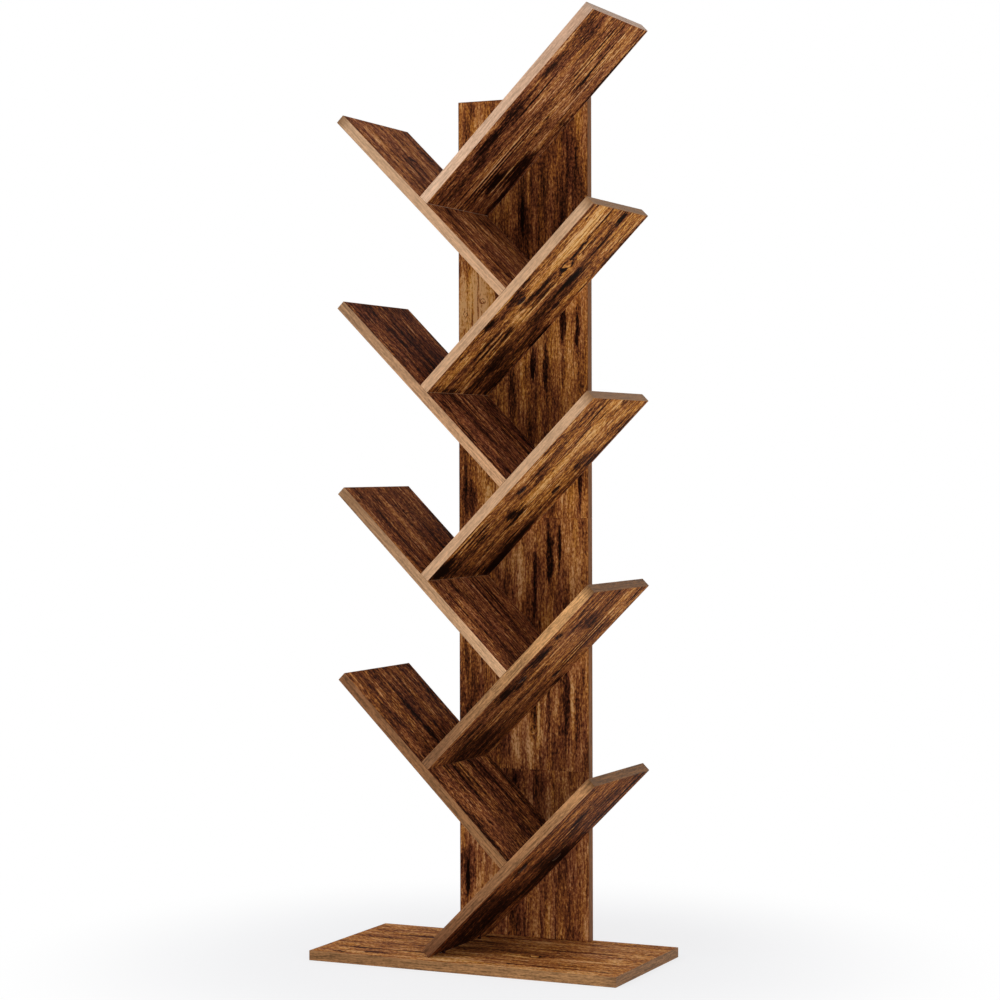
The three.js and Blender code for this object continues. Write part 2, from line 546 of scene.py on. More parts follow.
@dataclass(frozen=True)
class EdgeBanding:
    """Melamine edging paper, ironed on and trimmed flush.

    It is finely lined along its length, and paler at its two trimmed arrises: partly scuffed trim,
    partly a painted highlight on the eased arris. Its colour changes from foot to tip and round the
    end, with painted shade in it where the board lies in shade.
    """

    name: str
    # The foot, tip and end colours carry painted shade as well as the paper's own tan: darker where the
    # board lies in shade, and on most boards darker on the end faces.
    foot: str
    tip: str
    end: str
    board_length: float = 0.38
    turn_shares: Triple = (0.1, 0.95, 1.0)
    width: float = 0.015
    # How far in from each arris the paler band reaches, and how much paler it is: scuffed trim and painted
    # highlight.
    rubbed_and_highlight: Pair = (0.0014, 0.000467)
    rub_and_highlight_gain: float = 0.14
    contrast: float = 0.25
    lines: tuple[Grain, ...] = (Grain(60, 2.6, 0.4), Grain(16, 2.0, 0.3), Grain(5, 1.8, 0.3))
    line_detail: float = 2.0
    line_band: Pair = (0.4, 0.6)
    roughness: Pair = (0.45, 0.65)
    sheen: float = 0.08
    relief: float = 0.00003
    relief_strength: float = 0.6

    def material(self) -> Material:
        """Builds the banding as nodes over the place along and across the edge.

        Returns:
            The material.
        """
        material, tree = empty_material(f"edge_banding_{self.name}")
        place = board_places(tree)
        apart = add_node(tree, "ShaderNodeSeparateXYZ", {"Vector": place}).outputs
        share = compute(tree, "DIVIDE", apart["X"], self.board_length)
        base = add_ramp(tree, share, tuple(zip(self.turn_shares, (self.foot, self.tip, self.end))))
        total = 0.0
        for line in self.lines:
            size = (line.length, line.width)
            noise = add_noise(tree, place, size, (line.length, 0, 0), self.line_detail)
            total = compute(tree, "MULTIPLY_ADD", noise.outputs["Fac"], line.strength, total)
        # The trimmed arrises are painted paler: partly scuffed trim, partly a painted highlight that the
        # eased arris catches.
        half = self.width / 2
        aside = compute(tree, "ABSOLUTE", compute(tree, "SUBTRACT", apart["Y"], half))
        worn_and_highlight = remap(tree, aside, tuple(half - inset for inset in self.rubbed_and_highlight), (0, self.rub_and_highlight_gain))
        lined = remap(tree, total, self.line_band, (1 - self.contrast, 1 + self.contrast))
        finish_surface(
            tree,
            {
                "Base Color": combine(tree, "SCALE", base, Scale=compute(tree, "ADD", lined, worn_and_highlight)),
                "Roughness": remap(tree, total, target=self.roughness),
                "Normal": add_bump(tree, total, self.relief, self.relief_strength),
                "Specular IOR Level": self.sheen,
            },
            self.tip,
        )
        return material


@dataclass(frozen=True)
class ParticleBoard:
    """Pressed wood chips, seen only inside the drilled holes: rough, mottled, and painted dark brown as the
    shade inside the holes.
    """

    name: str = "particle_board_core"
    chip: float = 0.0018
    relief: float = 0.0003
    roughness: float = 0.9
    # Far darker than bare chipboard: painted shade on the hole walls round the sunk screw heads.
    plain: str = "#5f4328"
    tones: tuple[tuple[float, str], ...] = ((0.0, "#3d2918"), (0.5, "#5f4328"), (1.0, "#80603d"))

    def material(self) -> Material:
        """Builds the chips as cells over Object coordinates.

        Returns:
            The material.
        """
        material, tree = empty_material(self.name)
        inputs = {"Vector": object_places(tree), "Scale": 1 / self.chip}
        cells = add_node(tree, "ShaderNodeTexVoronoi", inputs).outputs
        shade = add_node(tree, "ShaderNodeSeparateXYZ", {"Vector": cells["Color"]}).outputs["X"]
        finish_surface(
            tree,
            {
                "Base Color": add_ramp(tree, shade, self.tones),
                "Roughness": self.roughness,
                "Normal": add_bump(tree, cells["Distance"], self.relief),
            },
            self.plain,
        )
        return material


@dataclass(frozen=True)
class BronzedSteel:
    """Steel screws under a dark bronze lacquer: a nearly black maroon with a dull glint."""

    name: str = "bronzed_steel"
    spot: float = 0.0012
    detail: float = 3.0
    tones: tuple[tuple[float, str], ...] = ((0.3, "#1f0a05"), (0.6, "#2e1008"), (0.8, "#421c0f"))
    metallic: float = 0.15
    roughness: Pair = (0.45, 0.7)
    sheen: float = 0.06
    relief: float = 0.00002
    relief_strength: float = 0.5
    plain: str = "#2e1008"

    def material(self) -> Material:
        """Builds the lacquer as nodes over Object coordinates.

        Returns:
            The material.
        """
        material, tree = empty_material(self.name)
        inputs = {"Vector": object_places(tree), "Scale": 1 / self.spot, "Detail": self.detail}
        noise = add_node(tree, "ShaderNodeTexNoise", inputs).outputs["Fac"]
        finish_surface(
            tree,
            {
                "Base Color": add_ramp(tree, noise, self.tones),
                "Metallic": self.metallic,
                "Roughness": remap(tree, noise, target=self.roughness),
                "Normal": add_bump(tree, noise, self.relief, self.relief_strength),
                "Specular IOR Level": self.sheen,
            },
            self.plain,
        )
        return material


@dataclass(frozen=True)
class Beech:
    """Turned beech dowels: plain pale wood with short brown flecks along the grain."""

    name: str = "turned_beech"
    fleck_length: float = 0.004
    fleck_width: float = 0.0006
    detail: float = 3.0
    tones: tuple[tuple[float, str], ...] = ((0.3, "#a97c4c"), (0.5, "#cfa673"), (0.7, "#dfbf93"))
    roughness: Pair = (0.6, 0.85)
    plain: str = "#c9a273"

    def material(self) -> Material:
        """Builds the flecks as noise over Object coordinates, stretched along the upright dowels.

        Returns:
            The material.
        """
        material, tree = empty_material(self.name)
        scale = (1 / self.fleck_width, 1 / self.fleck_width, 1 / self.fleck_length)
        scaled = add_node(tree, "ShaderNodeMapping", {"Vector": object_places(tree), "Scale": scale})
        inputs = {"Vector": scaled.outputs["Vector"], "Scale": 1.0, "Detail": self.detail}
        noise = add_node(tree, "ShaderNodeTexNoise", inputs).outputs["Fac"]
        colour = add_ramp(tree, noise, self.tones)
        sheen = remap(tree, noise, target=self.roughness)
        finish_surface(tree, {"Base Color": colour, "Roughness": sheen}, self.plain)
        return material


# How the trunk differs from the branches: a wider, calmer figure with fainter streaks
TRUNK_LOOK = {
    "figure": CALM_FIGURE,
    "hairs": (0.1, -0.25),
    "dark_gain": 0.9,
    "light_gain": 0.75,
}
# The prints of the boards, placed face by face as the photograph shows them
PRINTS = {
    "right_branch_1": RusticPrint(
        0.48,
        0.5,
        make_streaks(
            (150, 34, 150, 36, -0.26), (125, 32, 70, 22, -0.3), (185, 25, 50, 30, -0.2),
            (280, 26, 60, 26, -0.22), (345, 55, 50, 40, -0.14), (215, 55, 105, 7, -0.5),
            (65, 42, 130, 66, -0.14), (145, 7, 44, 12, 0.24), (310, 7, 140, 10, 0.18),
            (240, 80, 110, 44, 0.14), (205, 70, 60, 5, 0.22), (250, 92, 70, 4, 0.26),
            (95, 107, 190, 4, 0.34), (75, 118, 130, 4, 0.34), (140, 127, 100, 4, 0.26),
            (95, 112, 190, 4, -0.3), (90, 123, 180, 5, -0.36), (60, 133, 120, 6, -0.3),
            (330, 108, 110, 4, 0.3), (320, 119, 120, 5, 0.3), (340, 128, 90, 4, 0.26),
            (330, 113, 110, 4, -0.3), (300, 124, 100, 4, -0.26), (62, 148, 52, 26, -0.55),
            (95, 185, 84, 44, -0.5), (75, 163, 78, 4, 0.5), (72, 177, 66, 4, 0.45), (150, 180, 50, 5, 0.22),
            (190, 138, 15, 9, -0.5), (189, 197, 11, 14, -0.4), (212, 155, 60, 55, 0.2),
            (335, 175, 120, 70, 0.2), (262, 152, 50, 12, -0.4), (285, 141, 70, 8, 0.34),
            (290, 150, 60, 5, -0.45), (230, 162, 50, 4, 0.26), (245, 172, 60, 4, 0.26),
            (300, 160, 70, 4, 0.24), (300, 170, 90, 4, -0.28), (340, 150, 80, 4, -0.3),
            (300, 210, 170, 6, -0.36), (40, 205, 100, 22, -0.3), (30, 90, 60, 5, -0.25),
            (120, 90, 90, 5, -0.2),
        ),
    ),
    "right_branch_2": RusticPrint(
        0.54,
        0.22,
        make_streaks(
            (138, 14, 34, 34, -0.5), (195, 22, 40, 36, -0.26), (222, 8, 20, 13, -0.3),
            (5, 60, 16, 120, -0.25), (100, 62, 100, 9, -0.4), (92, 72, 96, 4, 0.26), (95, 80, 104, 9, -0.42),
            (100, 88, 90, 4, 0.2), (128, 92, 30, 22, -0.25), (212, 72, 80, 20, -0.28),
            (208, 96, 56, 22, -0.28), (190, 62, 60, 5, -0.3), (275, 45, 230, 46, 0.26),
            (330, 70, 110, 5, 0.22), (160, 85, 40, 66, 0.26), (325, 50, 130, 84, 0.17),
            (60, 40, 60, 16, 0.1), (300, 60, 150, 4, 0.2), (290, 33, 160, 4, -0.2), (320, 53, 120, 4, -0.22),
            (150, 108, 220, 5, 0.32), (60, 104, 100, 4, -0.2), (246, 92, 14, 20, -0.3),
            (286, 86, 14, 9, -0.4), (308, 84, 34, 9, -0.7), (308, 95, 30, 6, 0.24), (300, 101, 40, 5, -0.3),
            (350, 80, 70, 4, -0.36), (345, 74, 70, 4, 0.3), (60, 165, 160, 110, -0.2),
            (30, 190, 70, 50, -0.2), (130, 200, 60, 30, -0.2), (195, 155, 160, 80, -0.18),
            (240, 143, 50, 22, -0.5), (235, 142, 90, 9, -0.4), (320, 141, 90, 6, -0.36),
            (368, 133, 26, 20, -0.6), (335, 178, 110, 46, 0.16), (255, 165, 40, 5, 0.22),
            (195, 178, 40, 5, 0.2), (330, 210, 120, 8, -0.4), (130, 210, 60, 12, -0.36),
            (340, 160, 70, 4, -0.2), (330, 190, 80, 4, -0.22),
        ),
        (Knot(266, 92, 23, 30, 0.15),),
    ),
    "right_branch_3": RusticPrint(
        0.53,
        0.2,
        make_streaks(
            (20, 22, 66, 50, -0.5), (12, 100, 30, 220, -0.2), (60, 180, 140, 80, -0.2),
            (30, 200, 70, 40, -0.25), (90, 10, 80, 5, 0.32), (90, 28, 70, 5, 0.28), (85, 18, 72, 6, -0.36),
            (95, 36, 70, 7, -0.3), (85, 60, 26, 16, -0.6), (45, 66, 60, 6, -0.3), (60, 50, 90, 6, -0.22),
            (138, 100, 28, 50, -0.5), (128, 118, 56, 11, -0.5), (150, 115, 22, 12, -0.4),
            (140, 128, 30, 6, 0.26), (100, 140, 50, 8, -0.2), (265, 115, 230, 64, 0.28),
            (70, 60, 130, 150, -0.1), (320, 155, 130, 100, 0.1), (190, 105, 60, 40, 0.14),
            (370, 105, 30, 60, 0.14), (190, 40, 24, 30, -0.16), (230, 46, 50, 10, -0.36),
            (225, 70, 40, 20, -0.2), (350, 66, 60, 7, -0.4), (300, 84, 50, 6, -0.36), (345, 92, 30, 6, -0.3),
            (350, 118, 24, 30, -0.2), (375, 122, 14, 14, -0.36), (345, 28, 50, 8, -0.26),
            (280, 10, 50, 12, -0.3), (200, 18, 30, 30, 0.1), (250, 180, 46, 60, -0.22),
            (330, 190, 60, 40, -0.2), (80, 165, 60, 12, -0.3), (95, 172, 50, 5, 0.26),
            (90, 195, 90, 14, -0.3), (300, 206, 170, 7, -0.36), (190, 200, 60, 40, -0.14),
            (260, 30, 120, 4, 0.2), (300, 55, 100, 4, 0.18), (260, 135, 150, 4, -0.18),
        ),
    ),
    # The lower tone and the broad dark patch over the foot are painted shade, the shade under the tier
    # above, on top of the print's own stains.
    "right_branch_4": RusticPrint(
        0.45,
        0.34,
        make_streaks(
            (25, 120, 110, 150, -0.22), (80, 110, 140, 150, -0.03), (195, 30, 150, 60, -0.2),
            (165, 24, 34, 16, -0.36), (160, 42, 46, 15, -0.45), (176, 58, 34, 13, -0.38),
            (232, 22, 44, 11, -0.42), (246, 35, 46, 13, -0.45), (236, 47, 30, 8, -0.36),
            (60, 25, 60, 40, -0.12), (75, 45, 40, 16, -0.26), (285, 26, 14, 24, -0.44),
            (331, 36, 18, 11, -0.44), (50, 78, 60, 5, 0.26), (100, 85, 60, 4, 0.2), (205, 74, 44, 9, 0.36),
            (250, 75, 110, 50, 0.14), (235, 120, 120, 60, 0.12), (330, 15, 120, 20, 0.12),
            (200, 98, 34, 20, -0.26), (150, 122, 60, 10, -0.36), (145, 165, 40, 30, -0.2),
            (310, 90, 50, 70, -0.18), (355, 107, 60, 8, -0.36), (305, 115, 30, 14, -0.2),
            (262, 150, 116, 4, 0.36), (258, 163, 110, 4, 0.32), (330, 150, 60, 5, 0.2),
            (262, 156, 116, 5, -0.4), (256, 170, 116, 6, -0.4), (265, 143, 100, 4, -0.3),
            (330, 158, 50, 4, -0.26), (345, 150, 90, 30, 0.18), (330, 180, 40, 50, 0.3),
            (365, 190, 40, 9, -0.5), (365, 165, 30, 30, 0.12), (60, 208, 120, 10, 0.12),
            (168, 205, 30, 20, -0.3), (330, 60, 100, 4, -0.24), (340, 75, 80, 4, 0.2),
        ),
    ),
    # The low tone and the broad dark patches over the foot half are painted shade: the lowest branch lies in
    # the shade of the tier above.
    "right_branch_5": RusticPrint(
        0.38,
        0.32,
        make_streaks(
            (60, 80, 170, 200, -0.26), (150, 190, 160, 100, -0.26), (190, 150, 60, 120, -0.2),
            (290, 92, 50, 22, -0.4), (250, 102, 60, 6, 0.28), (225, 112, 40, 8, -0.36),
            (270, 115, 30, 20, -0.26), (330, 60, 110, 60, 0.1), (320, 45, 30, 20, 0.08),
            (300, 100, 60, 5, 0.22), (335, 160, 90, 50, 0.08), (340, 128, 70, 6, -0.3),
            (345, 165, 70, 5, -0.3), (320, 180, 60, 5, 0.22), (320, 191, 150, 12, -0.45),
            (200, 28, 60, 12, -0.26), (195, 38, 44, 14, -0.26), (75, 14, 62, 10, 0.12),
            (320, 25, 90, 5, -0.24), (340, 78, 70, 4, -0.24), (280, 60, 90, 4, 0.16),
            (240, 140, 60, 30, -0.2),
        ),
    ),
    "left_branch_1": RusticPrint(
        0.5,
        0.6,
        make_streaks(
            (110, 30, 62, 40, -0.1), (116, 75, 34, 50, 0.1), (150, 93, 62, 9, 0.12), (150, 140, 62, 5, 0.18),
            (150, 128, 70, 5, -0.2), (150, 165, 60, 17, -0.2), (130, 50, 90, 4, 0.16),
            (140, 60, 90, 5, -0.24), (150, 108, 80, 4, 0.18), (145, 130, 80, 84, 0.1),
            (130, 185, 90, 5, 0.14), (345, 60, 70, 62, 0.14), (260, 90, 140, 12, -0.22),
            (60, 110, 100, 30, 0.1), (250, 150, 160, 26, 0.12), (300, 30, 120, 10, -0.22),
            (310, 190, 130, 14, -0.22),
        ),
        (Knot(290, 118, 20, 14, 0.15),),
    ),
    "left_branch_2": RusticPrint(
        0.35,
        0.7,
        make_streaks(
            (100, 15, 44, 7, -0.36), (140, 40, 62, 20, 0.1), (160, 25, 32, 20, -0.2),
            (130, 76, 104, 40, -0.14), (140, 118, 90, 5, 0.3), (145, 134, 84, 18, 0.16),
            (140, 126, 90, 4, -0.2), (150, 100, 90, 4, 0.16), (140, 60, 100, 4, 0.14),
            (160, 190, 42, 30, -0.2), (290, 60, 150, 20, 0.14), (280, 110, 170, 10, -0.26),
            (320, 160, 120, 30, 0.12), (50, 170, 90, 16, -0.2), (130, 152, 90, 5, -0.24),
            (155, 135, 90, 140, 0.1),
        ),
    ),
    "left_branch_3": RusticPrint(
        0.43,
        0.6,
        make_streaks(
            (130, 55, 62, 40, 0.1), (160, 65, 32, 17, -0.2), (150, 100, 62, 20, 0.06),
            (140, 132, 90, 5, 0.2), (140, 140, 90, 5, -0.26), (140, 162, 84, 6, -0.32),
            (140, 172, 74, 5, -0.26), (130, 30, 100, 5, -0.24), (130, 85, 100, 4, -0.2),
            (140, 115, 100, 4, 0.16), (290, 40, 160, 14, -0.22), (300, 90, 150, 30, 0.14),
            (250, 150, 120, 10, -0.26), (330, 180, 90, 24, 0.14), (50, 60, 80, 12, -0.16),
        ),
        (Knot(318, 128, 18, 12, 0.15),),
    ),
    "left_branch_4": RusticPrint(
        0.39,
        0.5,
        make_streaks(
            (120, 40, 120, 16, 0.14), (150, 80, 120, 8, -0.3), (130, 120, 140, 20, 0.1),
            (140, 165, 130, 9, -0.3), (130, 60, 110, 4, 0.16), (150, 100, 110, 4, 0.16),
            (140, 140, 110, 5, -0.22), (300, 50, 140, 20, 0.12), (280, 100, 160, 9, -0.26),
            (310, 150, 130, 28, 0.14), (60, 195, 100, 12, -0.2),
        ),
    ),
    "trunk_lower": RusticPrint(
        0.54,
        0.5,
        make_streaks(
            (85, 14, 62, 7, -0.4), (110, 18, 70, 40, -0.3), (110, 36, 84, 20, 0.14), (95, 30, 60, 4, 0.26),
            (130, 41, 52, 4, 0.2), (160, 180, 124, 40, -0.16), (150, 165, 80, 7, -0.3),
            (180, 195, 80, 5, 0.2), (245, 80, 42, 40, -0.26), (240, 130, 50, 90, -0.14),
            (40, 120, 90, 20, 0.1), (60, 90, 90, 10, -0.2), (200, 150, 100, 8, 0.14),
            (100, 112, 70, 8, -0.26),
        ),
        **TRUNK_LOOK,
    ),
    "trunk_middle": RusticPrint(
        0.57,
        0.45,
        make_streaks(
            (50, 114, 100, 58, 0.36), (25, 70, 62, 26, -0.12), (40, 86, 72, 5, -0.26),
            (80, 136, 72, 5, 0.24), (85, 128, 72, 4, -0.2), (20, 150, 60, 40, -0.2),
            (100, 152, 100, 8, -0.4), (115, 166, 60, 8, 0.16), (110, 182, 120, 12, -0.42),
            (95, 200, 110, 8, -0.36), (120, 192, 80, 6, 0.2), (140, 210, 62, 8, -0.26),
            (165, 30, 60, 34, 0.12), (160, 14, 70, 8, -0.36), (180, 40, 60, 6, -0.3), (60, 28, 90, 40, -0.1),
            (310, 108, 84, 20, 0.16), (330, 155, 94, 12, -0.5), (350, 172, 62, 7, -0.4),
            (310, 192, 90, 16, 0.14), (280, 84, 62, 20, -0.2), (300, 130, 90, 7, -0.3),
            (340, 140, 60, 7, 0.2), (200, 60, 150, 14, 0.12), (210, 130, 130, 12, -0.24),
            (340, 60, 80, 12, -0.3),
        ),
        (Knot(60, 127, 8, 6, 0),),
        **TRUNK_LOOK,
    ),
    "trunk_upper": RusticPrint(
        0.57,
        0.3,
        make_streaks(
            (35, 190, 74, 40, 0.24), (45, 160, 80, 9, -0.4), (50, 206, 90, 7, -0.36), (40, 176, 60, 5, 0.24),
            (30, 20, 64, 24, -0.2), (78, 30, 70, 50, 0.22), (36, 56, 60, 54, 0.26), (22, 185, 70, 60, 0.1),
            (75, 50, 60, 7, -0.36), (60, 12, 70, 6, -0.3), (178, 116, 60, 16, 0.24), (190, 92, 90, 14, -0.3),
            (180, 76, 70, 10, 0.16), (238, 127, 56, 13, -0.6), (250, 108, 70, 12, 0.16),
            (255, 160, 50, 12, 0.22), (225, 148, 90, 8, -0.45), (298, 178, 66, 14, -0.6),
            (290, 202, 70, 9, -0.55), (336, 192, 40, 18, 0.26), (230, 178, 80, 8, -0.3),
            (215, 200, 90, 12, 0.16), (330, 150, 70, 8, -0.36), (330, 26, 130, 76, 0.44),
            (345, 8, 60, 8, 0.1), (318, 24, 100, 4, -0.3), (340, 34, 110, 4, -0.3), (300, 40, 60, 3, -0.3),
            (335, 15, 70, 3, -0.26), (300, 52, 60, 7, -0.26), (500, 150, 260, 150, -0.2),
            (440, 100, 120, 60, -0.12), (470, 110, 90, 7, -0.3), (540, 182, 94, 6, 0.2),
            (480, 190, 90, 6, 0.18), (450, 130, 80, 5, 0.18), (520, 120, 90, 5, 0.16),
            (560, 40, 160, 30, 0.1), (450, 50, 140, 12, -0.2), (130, 60, 130, 10, 0.12),
        ),
        (Knot(337, 42, 12, 9, 0.1), Knot(318, 12, 9, 7, 0.1)),
        **TRUNK_LOOK,
    ),
    "base_plate": RusticPrint(
        0.64,
        0.35,
        make_streaks(
            (45, 13, 26, 10, -0.55), (100, 30, 44, 16, -0.36), (88, 26, 14, 8, -0.3), (65, 22, 40, 16, 0.12),
            (130, 34, 84, 16, 0.14), (225, 28, 110, 40, 0.2), (190, 22, 110, 40, 0.1),
            (70, 54, 110, 10, -0.4), (150, 56, 60, 10, -0.36), (385, 7, 240, 18, 0.3),
            (370, 11, 190, 3, -0.3), (330, 22, 62, 12, 0.14), (320, 31, 42, 9, -0.36),
            (395, 30, 120, 11, -0.26), (470, 26, 50, 6, -0.3), (400, 17, 110, 5, 0.16),
            (250, 110, 340, 40, -0.16), (150, 170, 200, 12, -0.36), (380, 150, 154, 13, -0.3),
            (120, 92, 200, 16, 0.12), (350, 202, 220, 18, 0.14), (200, 215, 160, 8, -0.3),
            (420, 90, 120, 6, 0.2), (60, 140, 110, 7, -0.3), (250, 60, 60, 8, -0.26),
        ),
        (Knot(330, 95, 24, 16, 0.15),),
    ),
}

# Each board's banding is a tan to brown paper with painted shade in its colours: paler on the upper boards,
# darker feet on the lowest right branches, darker tips on the left branches, and darker end faces on most
PALE_BANDING_PAINTED_LIGHT = EdgeBanding("pale", "#d6b08f", "#c29b7d", "#b89a82")
TAN_BANDING_SHADED_END = EdgeBanding("tan", "#c69c76", "#c09974", "#8a6543")
BANDING_SHADED_TO_TIP = EdgeBanding("shaded_to_tip", "#bf926a", "#a17a57", "#9c7653", contrast=0.36)
BANDING_SHADED_DEEPER_TO_TIP = EdgeBanding("shaded_deeper_to_tip", "#c99e75", "#8f6a49", "#9c7653", contrast=0.36)
BANDING_SHADED_AT_FOOT = EdgeBanding("shaded_at_foot", "#80593a", "#c8955f", "#745030", contrast=0.5)
BANDING_SHADED_DEEPER_AT_FOOT = EdgeBanding("shaded_deeper_at_foot", "#724b2f", "#ac7c50", "#745030", contrast=0.5)
BROWN_BANDING_SHADED_TO_TIP = EdgeBanding("brown", "#89603c", "#7b5233", "#7b5233", contrast=0.5)
BASE_BANDING_SHADED = EdgeBanding("base", "#8d643e", "#a2774c", "#85603f", board_length=0.5, contrast=0.5)
# The trunk's banding is an even dark brown.
DARK_TRUNK_BANDING = EdgeBanding("dark_trunk", "#7a4e2b", "#7a4e2b", "#7a4e2b", contrast=0.45)
BANDINGS = {
    "base_plate": BASE_BANDING_SHADED,
    "trunk_lower": DARK_TRUNK_BANDING,
    "trunk_middle": DARK_TRUNK_BANDING,
    "trunk_upper": DARK_TRUNK_BANDING,
    "right_branch_1": PALE_BANDING_PAINTED_LIGHT,
    "right_branch_2": TAN_BANDING_SHADED_END,
    "right_branch_3": TAN_BANDING_SHADED_END,
    "right_branch_4": BANDING_SHADED_AT_FOOT,
    "right_branch_5": BANDING_SHADED_DEEPER_AT_FOOT,
    "left_branch_1": TAN_BANDING_SHADED_END,
    "left_branch_2": BANDING_SHADED_TO_TIP,
    "left_branch_3": BANDING_SHADED_DEEPER_TO_TIP,
    "left_branch_4": BROWN_BANDING_SHADED_TO_TIP,
}


def deselect_all() -> None:
    """Leaves nothing selected, because an operator acts on all that is."""
    bpy.ops.object.select_all(action="DESELECT")


def make_active(*pieces: Piece) -> None:
    """Selects some objects and no others, and makes the first the one that operators act on.

    Args:
        pieces: the objects.
    """
    deselect_all()
    for piece in pieces:
        piece.select_set(True)
    bpy.context.view_layer.objects.active = pieces[0]


def settle() -> None:
    """Keeps the place of what is selected in its mesh."""
    bpy.ops.object.transform_apply(location=True, rotation=True, scale=True)


def place_mesh(piece: Piece, place: Matrix) -> None:
    """Moves a finished piece to its place, and keeps the place in its mesh.

    Args:
        piece: the object.
        place: where its own frame goes.
    """
    make_active(piece)
    piece.matrix_world = place
    settle()


def link_new(name: str, data: bpy.types.ID) -> Piece:
    """Adds an object with this mesh, light or camera to the scene.

    Args:
        name: what it is called.
        data: its mesh, light or camera.

    Returns:
        The object.
    """
    piece = bpy.data.objects.new(name, data)
    bpy.context.scene.collection.objects.link(piece)
    return piece


def copy_piece(piece: Piece) -> Piece:
    """Adds a copy of an object, with a mesh of its own, to the scene.

    Args:
        piece: the object.

    Returns:
        The copy.
    """
    copied = piece.copy()
    copied.data = piece.data.copy()
    bpy.context.scene.collection.objects.link(copied)
    return copied


def remove_pieces(*pieces: Piece) -> None:
    """Takes away objects that have done their work, with their meshes.

    Args:
        pieces: the objects.
    """
    for piece in pieces:
        mesh = piece.data
        bpy.data.objects.remove(piece)
        bpy.data.meshes.remove(mesh)


def add_cylinder(sides: int, radius: float, top: float, low: float) -> Piece:
    """Adds a cylinder along Z, with its place kept in its mesh.

    Args:
        sides: how many sides stand for the round.
        radius: from the axis to the corners.
        top: the depth where it begins.
        low: the depth where it ends.

    Returns:
        The cylinder.
    """
    deselect_all()
    bpy.ops.mesh.primitive_cylinder_add(
        vertices=sides, radius=radius, depth=low - top, location=(0, 0, (top + low) / 2)
    )
    settle()
    return bpy.context.object


def pick_faces(piece: Piece, test: Callable[[bmesh.types.BMFace], bool]) -> None:
    """Selects, in edit mode, the faces that pass a test, and no others.

    Args:
        piece: the object in edit mode.
        test: says for each face whether it is wanted.
    """
    bpy.ops.mesh.select_mode(type="FACE")
    bpy.ops.mesh.select_all(action="DESELECT")
    shape = bmesh.from_edit_mesh(piece.data)
    shape.normal_update()
    for face in shape.faces:
        face.select_set(test(face))
    bmesh.update_edit_mesh(piece.data)


def apply_modifier(piece: Piece, kind: str, **settings: object) -> None:
    """Adds a modifier and applies it at once.

    Args:
        piece: the object to shape.
        kind: Blender's name for the modifier.
        settings: the modifier's settings.
    """
    make_active(piece)
    modifier = piece.modifiers.new(kind.lower(), kind)
    for name, value in settings.items():
        setattr(modifier, name, value)
    bpy.ops.object.modifier_apply(modifier=modifier.name)


def cut_away(piece: Piece, cutter: Piece) -> None:
    """Cuts one solid out of another, and takes the cutter away."""
    apply_modifier(piece, "BOOLEAN", object=cutter, operation="DIFFERENCE", solver="EXACT")
    remove_pieces(cutter)


def driven(point: Vector, direction: Vector) -> Matrix:
    """Gives the place of a fastener whose own Z axis is the way it is driven.

    Args:
        point: where its axis meets the face of the board.
        direction: the way it is driven.

    Returns:
        The matrix that brings it there.
    """
    turn = Vector((0, 0, 1)).rotation_difference(direction)
    return Matrix.Translation(point) @ turn.to_matrix().to_4x4()


